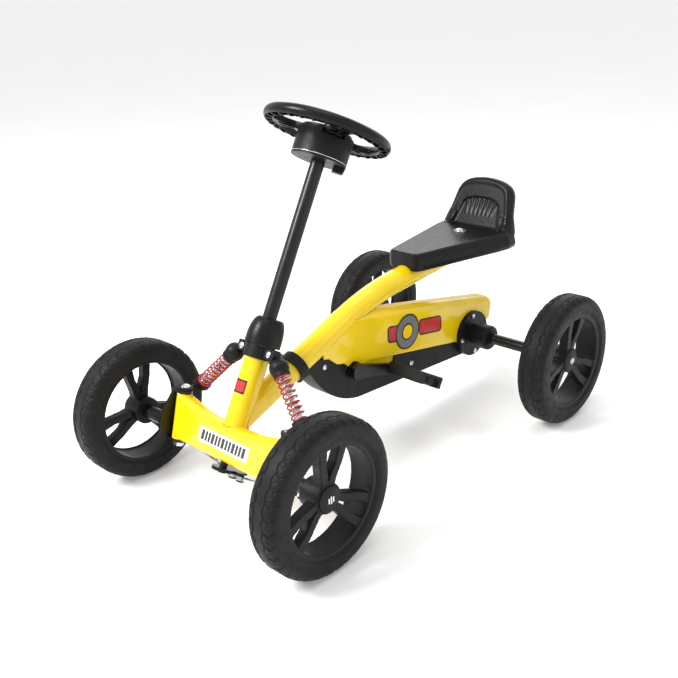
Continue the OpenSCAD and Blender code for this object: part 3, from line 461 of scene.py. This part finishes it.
def arc_box(from_r, to_r, from_z, to_z, from_a, to_a, steps=6):
    """A closed wedge of a ring, in the steering column's frame."""
    loops = []
    for i in range(steps + 1):
        a = from_a + (to_a - from_a) * i / steps
        ring = [(from_r, from_z), (to_r, from_z), (to_r, to_z), (from_r, to_z)]
        loops.append([COLUMN @ Vector((r * cos(a), r * sin(a), z)) for r, z in ring])
    mesh = loft("wedge", loops)
    bm = bmesh.new()
    bm.from_mesh(mesh)
    bmesh.ops.recalc_face_normals(bm, faces=bm.faces)
    bm.to_mesh(mesh)
    bm.free()
    return mesh


def joined(meshes):
    bm = bmesh.new()
    for m in meshes:
        bm.from_mesh(m)
    mesh = bpy.data.meshes.new("joined")
    bm.to_mesh(mesh)
    bm.free()
    return mesh


ribs = 30
pockets = [arc_box(RING_R - 5.6 * MM, RING_R + 5.6 * MM, RING_S - 14 * MM, RING_S - 0.5 * MM,
                   2 * pi * (i + 0.1) / ribs, 2 * pi * (i + 0.9) / ribs) for i in range(ribs)]
for spoke in (90, 210, 330):
    for lane in (-1, 1):
        mid = radians(spoke + lane * 6.2)
        pockets.append(arc_box(50 * MM, 76 * MM, RING_S - 16 * MM, RING_S - 3.0 * MM, mid - 0.075, mid + 0.075, 3))
wheel = cut(welded_copy("steering_wheel"), joined(pockets))
stand_in("steering_wheel", soften(wheel, 0.8 * MM, 3))

trim = [COLUMN @ Vector((43.0 * MM * cos(a), 43.0 * MM * sin(a), 445.6 * MM))
        for a in (2 * pi * i / 96 for i in range(96))]
extra("hub_trim_line", sweep("trim", trim, 0.55 * MM, 8, True), BRIGHT, "steering")

# ---- Seat ----
SEAT_LO, SEAT_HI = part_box("seat_shell")
PAN_TOP = middle("seat_bolt").z
BOLT = middle("seat_bolt")
BACK_FOOT = Vector((0, BOLT.y + 33 * MM, 290 * MM))
BACK_LEAN = radians(24)
BACK_UP = Vector((0, sin(BACK_LEAN), cos(BACK_LEAN)))
BACK_OUT = Vector((0, cos(BACK_LEAN), -sin(BACK_LEAN)))


def pan_loop(z, shrink=0.0, flare=0.0):
    """The pan's outline at one height: a blunt tongue in front that widens to the back."""
    half = [(0, 126), (26, 126.5), (33, 130), (36.5, 137), (43, 165), (51, 200), (60, 240), (68, 275), (75, 305),
            (79, 330), (77, 352), (62, 362), (30, 366), (0, 366)]
    side = [Vector(((x + flare * (y - 126) / 240 - shrink * (x > 0)) * MM, y * MM, z * MM)) for x, y in half]
    return side + [Vector((-p.x, p.y, p.z)) for p in side[-2:0:-1]]


ARCH = [(79, 0), (77.5, 10), (74, 28), (70, 48), (66, 68), (62.5, 86), (59, 97), (51, 107), (39, 113.5), (21, 117.5), (0, 119)]


def arch(width, foot, top, steps=5):
    """The backrest's outline as (x, height) pairs, from its right foot over the top to its left foot."""
    half = []
    ends = [ARCH[0]] + ARCH + [(-ARCH[-2][0], ARCH[-2][1])]
    for a, b, c, d in zip(ends, ends[1:], ends[2:], ends[3:]):
        for k in range(steps):
            t = k / steps
            half.append(tuple(0.5 * (2 * b[i] + (c[i] - a[i]) * t + (2 * a[i] - 5 * b[i] + 4 * c[i] - d[i]) * t * t
                                     + (3 * b[i] - a[i] - 3 * c[i] + d[i]) * t ** 3) for i in (0, 1)))
    half = [(x * width / 79, foot + h * (top - foot) / 119) for x, h in half] + [(0, top)]
    return half + [(-x, h) for x, h in half[-2::-1]]


def back_loop(width, foot, top, depth, tilt=0.0):
    """An arch on the backrest: depth is measured backwards from its front face."""
    return [BACK_FOOT + x * MM * Vector((1, 0, 0)) + h * MM * BACK_UP + (depth + tilt * h) * MM * BACK_OUT
            for x, h in arch(width, foot, top)]


def outward(mesh):
    bm = bmesh.new()
    bm.from_mesh(mesh)
    bmesh.ops.recalc_face_normals(bm, faces=bm.faces)
    bm.to_mesh(mesh)
    bm.free()
    return mesh


def heel_loop(z, front, rear, half, r=17):
    """A level slice through the foot of the backrest."""
    corners = [(half - r, rear - r, 0), (-half + r, rear - r, 90), (-half + 4, front + 4, 180), (half - 4, front + 4, 270)]
    loop = []
    for x, y, start in corners:
        round_r = r if y > front + 5 else 4
        loop += [Vector(((x + round_r * cos(radians(start + a))) * MM, (y + round_r * sin(radians(start + a))) * MM, z * MM))
                 for a in range(0, 91, 15)]
    return loop


def recess_floor(h):
    return 0.4 + 0.075 * h


pan = outward(loft("pan", [pan_loop(281, 3, 4), pan_loop(288, 0, 4), pan_loop(300, 0, 1), pan_loop(306.5, 0.8, -1),
                           pan_loop(310.5, 3, -3), pan_loop(312.5, 7, -4)]))
back = outward(loft("back", [back_loop(68, -6, 112, 0), back_loop(73, -6, 116, 2.0), back_loop(76.5, -6, 118.5, 6.5),
                             back_loop(78, -4, 119.5, 14), back_loop(76, 2, 118, 22), back_loop(70, 6, 112, 27)]))
heel = outward(loft("heel", [heel_loop(283, 324, 360, 70), heel_loop(291, 328, 365, 75), heel_loop(305, 334, 368, 76),
                             heel_loop(320, 341, 370.5, 72.5), heel_loop(336, 349, 373, 68), heel_loop(350, 356, 374, 62)]))
bend = [(306, 311.5), (316, 312.6), (325, 315), (331, 319.5), (336, 326), (340, 335), (346, 331), (345, 304),
        (306, 304)]
fillet = outward(loft("fillet", [[Vector((x * MM, y * MM, z * MM)) for y, z in bend] for x in (-59, -30, 0, 30, 59)]))
basin = outward(loft("basin", [back_loop(69, 36, 109, -8), back_loop(64, 36, 105, 1.6)]))
recess = outward(loft("recess", [back_loop(60, 9, 84, -16), back_loop(51, 15, 79, 0.4, 0.075)]))
hollow = [[Vector((p.x, min(max(p.y, 134 * MM), 359 * MM), p.z)) for p in loop]
          for loop in (pan_loop(262, 6, 2), pan_loop(303, 7, 0))]
TUBE_END = middle("tube_end_plug")
TUBE_RUN = Vector((0, cos(radians(5.4)), sin(radians(5.4))))
TUBE_SIDE = Vector((0, -sin(radians(5.4)), cos(radians(5.4))))
notch = [[TUBE_END + TUBE_RUN * run + 21.2 * MM * (Vector((cos(a), 0, 0)) + sin(a) * TUBE_SIDE)
          for a in (2 * pi * i / 64 for i in range(64))] for run in (-0.26, 0.09)]
notch = outward(loft("notch", notch))
seat = cut(joined([pan]), outward(loft("hollow", hollow)), notch)
back = cut(back, basin, recess, notch)
flutes = []
for k in range(-3, 4):
    path = []
    for i in range(9):
        h = 44 + 32 * i / 8
        x = k * 10.5 * (0.86 + 0.14 * i / 8)
        path.append(BACK_FOOT + x * MM * Vector((1, 0, 0)) + h * MM * BACK_UP + (recess_floor(h) + 0.6) * MM * BACK_OUT)
    flutes.append(sweep("flute", path, lambda t: (1.0 + 2.6 * t) * MM, 10))
shell = soften(joined([seat, back, cut(heel, recess, notch), cut(fillet, recess)] + flutes), 1.25 * MM, 8)
stand_in("seat_shell", smooth_by_angle(shell, 60))

# ---- Springs ----
BALL = [Vector((x * 50 * MM, *(COLUMN @ Vector((0, 0, 130 * MM)))[1:])) for x in (1, -1)]
CUP = [Vector((x * 114 * MM, *(BEAM @ Vector((0, 28 * MM, 60 * MM)))[1:])) for x in (1, -1)]


def coil(start, end, radius, wire, turns, low, high):
    """A helix of one even pitch between two places along a line; the closed end turns are separate rings."""
    line = end - start
    along = line.normalized()
    side = along.orthogonal().normalized()
    over = along.cross(side)
    steps = int(turns * 28)
    path = []
    for i in range(steps + 1):
        t = i / steps
        lift = low + (high - low) * t
        a = 2 * pi * turns * t
        path.append(start + along * lift + radius * (cos(a) * side + sin(a) * over))
    return sweep("coil", path, wire, 10)


coils, cores = [], []
turn_of = [2 * pi * i / 48 for i in range(48)]
for ball, cup in zip(BALL, CUP):
    length = (ball - cup).length
    coils.append(coil(cup, ball, 10.4 * MM, 1.45 * MM, 9, 4.5 * MM, length - 11 * MM))
    along = (ball - cup).normalized()
    side, over = along.orthogonal().normalized(), along.cross(along.orthogonal().normalized())
    for lift in (6.0 * MM, length - 13.5 * MM):
        ring = [cup + along * lift + 9.6 * MM * (cos(a) * side + sin(a) * over) for a in turn_of]
        coils.append(sweep("end_ring", ring, 2.3 * MM, 12, True))
    cores.append(coil(cup, ball, 6.6 * MM, 1.1 * MM, 11, 5 * MM, length - 12 * MM))
stand_in("shock_springs", joined(coils))
extra("inner_coils", joined(cores), BRIGHT, "frame")


# ---- Weld beads ----
def tree_of(node):
    bm = bmesh.new()
    bm.from_mesh(NODES[node].data)
    tree = BVHTree.FromBMesh(bm)
    bm.free()
    return tree


def weld(name, starts, direction, node, radius=1.7 * MM, closed=True, limit=0.2):
    """A rippled bead along the places where rays first meet a CAD node."""
    tree = tree_of(node)
    path = []
    for p in starts:
        hit = tree.ray_cast(p, direction, limit)[0]
        if hit:
            path.append(hit)
    if len(path) < 8:
        return None
    ripple = lambda t: radius * (1 + 0.16 * sin(2 * pi * t * len(path) / 4.5))
    return extra(name, sweep(name, path, ripple, 8, closed), MATERIALS["yellow_paint"], "frame")


def ring_points(place, radius, height, n=120):
    """Points round an axis, starting at its rear."""
    turns = [pi / 2 + 2 * pi * i / n for i in range(n)]
    return [place @ Vector((radius * cos(a), radius * sin(a), height)) for a in turns]


down = (COLUMN.to_3x3() @ Vector((0, 0, -1)))
weld("weld_beam_top", ring_points(COLUMN, 19.6 * MM, 90 * MM), down, "front_beam", closed=False)
RISE = radians(20.8)
TUBE_START = COLUMN @ Vector((0, 0, 34 * MM))
TUBE = Matrix.Translation(TUBE_START) @ Matrix.Rotation(RISE - pi / 2, 4, "X")
weld("weld_main_tube", ring_points(TUBE, 20.4 * MM, 90 * MM), TUBE.to_3x3() @ Vector((0, 0, -1)), "head_tube")


# ---- Decals: plain generic bars and rings, no lettering ----
def film(name, polygons, material, slot, body="frame"):
    points = [p for poly in polygons for p in poly]
    faces, at = [], 0
    for poly in polygons:
        faces.append(tuple(range(at, at + len(poly))))
        at += len(poly)
    return extra(name, mesh_of(name, points, faces, False), material, body)


def on_beam(u, w, lift=0.25 * MM):
    return BEAM @ Vector((u * MM, -14 * MM - lift, w * MM))


def bar(u0, u1, w0, w1, lift=0.25 * MM, slant=3.0):
    return [on_beam(u0, w0, lift), on_beam(u1, w0, lift), on_beam(u1 + slant, w1, lift), on_beam(u0 + slant, w1, lift)]


film("beam_label", [bar(-58, 55, -12, 12)], PRINT_WHITE, "yellow_paint")
bars = []
u = -52.0
for k in range(13):
    width = 4.6 if k % 3 else 6.4
    bars.append(bar(u, u + width, -8, 8, 0.4 * MM))
    u += width + 2.6
film("beam_label_bars", bars, PRINT_BLACK, "black_plastic")

COVER_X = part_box("cover_left")[1].x


def on_cover(side, y, z, lift):
    return Vector((side * (COVER_X + lift), y * MM, z * MM))


def rounded(y0, y1, z0, z1, slope, side, lift, r=5, n=5):
    """A rounded bar that follows the cover's slope, drawn on one side of the kart."""
    corners = [(y1 - r, z1 - r, 0), (y0 + r, z1 - r, 90), (y0 + r, z0 + r, 180), (y1 - r, z0 + r, 270)]
    loop = []
    for cy, cz, start in corners:
        for i in range(n + 1):
            a = radians(start + 90 * i / n)
            y, z = cy + r * cos(a), cz + r * sin(a)
            loop.append(on_cover(side, y, z - slope * (y - y0), lift))
    return loop if side > 0 else loop[::-1]


def disc(side, y, z, radius, lift, n=40):
    loop = [on_cover(side, y + radius * cos(2 * pi * i / n), z + radius * sin(2 * pi * i / n), lift) for i in range(n)]
    return loop if side > 0 else loop[::-1]


slope = 0.17
for side, word in ((1, "left"), (-1, "right")):
    film(f"cover_mark_edge_{word}", [rounded(58, 98, 170, 201, slope, side, 0.2 * MM, 8),
                                     rounded(142, 206, 158, 189, slope, side, 0.2 * MM, 8)], PRINT_BLACK, "black_plastic")
    film(f"cover_mark_{word}", [rounded(61, 96, 173, 198, slope, side, 0.35 * MM, 6),
                                rounded(144, 203, 161, 186, slope, side, 0.35 * MM, 6)], PRINT_RED, "red_paint")
    film(f"cover_ring_edge_{word}", [disc(side, 110, 176, 32, 0.45 * MM)], PRINT_BLACK, "black_plastic")
    film(f"cover_ring_{word}", [disc(side, 110, 176, 29, 0.6 * MM)], PRINT_GREY, "drive_steel")
    film(f"cover_ring_hub_{word}", [disc(side, 110, 176, 15.5, 0.75 * MM)], PRINT_BLACK, "black_plastic")
    film(f"cover_ring_cap_{word}", [disc(side, 110, 176, 12.5, 0.9 * MM)], MATERIALS["yellow_paint"], "yellow_paint")


def badge(radius, half_angle, low, high, n=12):
    """A patch that wraps the head tube's front."""
    points, faces = [], []
    for i in range(n + 1):
        a = radians(-90 - half_angle + 2 * half_angle * i / n)
        points += [COLUMN @ Vector((radius * cos(a), radius * sin(a), h)) for h in (low, high)]
    for i in range(n):
        faces.append((2 * i, 2 * i + 2, 2 * i + 3, 2 * i + 1))
    return mesh_of("badge", points, faces)


extra("head_badge_edge", badge(19.25 * MM, 36, 76 * MM, 97 * MM), PRINT_BLACK, "frame")
extra("head_badge", badge(19.4 * MM, 31, 79 * MM, 94 * MM), PRINT_RED, "frame")

# ---- Edges of the plastic and welded pieces ----
for node in ("pedal_left", "pedal_right"):
    stand_in(node, soften(welded_copy(node), 0.9 * MM, 3))
for node in ("cover_left", "cover_right"):
    stand_in(node, soften(welded_copy(node), 1.3 * MM, 6))
for node in ("head_collar", "shock_caps"):
    stand_in(node, soften(welded_copy(node), 0.8 * MM, 4))

# ---- Floor, camera and light ----
bpy.ops.mesh.primitive_plane_add(size=400, location=(0, 0, 0))
floor = bpy.context.object
floor.name = "floor"
ground = Graph("floor_paper", Roughness=0.75, Specular_IOR_Level=0.2, Emission_Color=(1, 1, 1, 1), Emission_Strength=0.1)
ground_tone = ground.mix(ground.span(ground.noise(3.0), 0.0, 1.0), (0.90, 0.90, 0.90, 1), (0.93, 0.93, 0.93, 1))
floor.data.materials.append(ground.feed(Base_Color=ground_tone))

AZIMUTH, ELEVATION, ROLL = radians(44.771), radians(22.254), radians(-2.661)
toward = Vector((sin(AZIMUTH) * cos(ELEVATION), -cos(AZIMUTH) * cos(ELEVATION), sin(ELEVATION)))
level = Vector((cos(AZIMUTH), sin(AZIMUTH), 0))
raised = toward.cross(level)
right = cos(ROLL) * level + sin(ROLL) * raised
top = -sin(ROLL) * level + cos(ROLL) * raised
camera_data = bpy.data.cameras.new("camera")
camera_data.sensor_width = 36
camera_data.lens = 47.99
camera = bpy.data.objects.new("camera", camera_data)
bpy.context.scene.collection.objects.link(camera)
camera.matrix_world = Matrix((right, top, toward)).transposed().to_4x4()
camera.location = (0.96652, -1.01212, 0.76623)
bpy.context.scene.camera = camera


def softbox(name, across, up, out, size, power, height=0.25):
    """A soft lamp placed by the camera's own directions and aimed at the kart."""
    data = bpy.data.lights.new(name, "AREA")
    data.shape = "RECTANGLE"
    data.size, data.size_y = size
    data.energy = power
    lamp = bpy.data.objects.new(name, data)
    bpy.context.scene.collection.objects.link(lamp)
    lamp.location = level * across + Vector((0, 0, up)) + Vector((toward.x, toward.y, 0)).normalized() * out
    aim = Vector((0, 0, height)) - lamp.location
    lamp.rotation_euler = aim.to_track_quat("-Z", "Y").to_euler()


softbox("key", -1.9, 2.1, 0.7, (1.0, 1.0), 78)
softbox("top", 0.2, 2.8, 0.1, (2.2, 1.6), 18)
softbox("fill", 2.2, 1.2, 1.6, (1.6, 1.6), 5)
softbox("edge", 0.6, 1.5, -2.3, (2.4, 0.9), 16)
world = bpy.data.worlds.new("studio")
world.use_nodes = True
world.node_tree.nodes["Background"].inputs["Color"].default_value = (1, 1, 1, 1)
world.node_tree.nodes["Background"].inputs["Strength"].default_value = 0.86
bpy.context.scene.world = world
bpy.context.scene.view_settings.view_transform = "Standard"
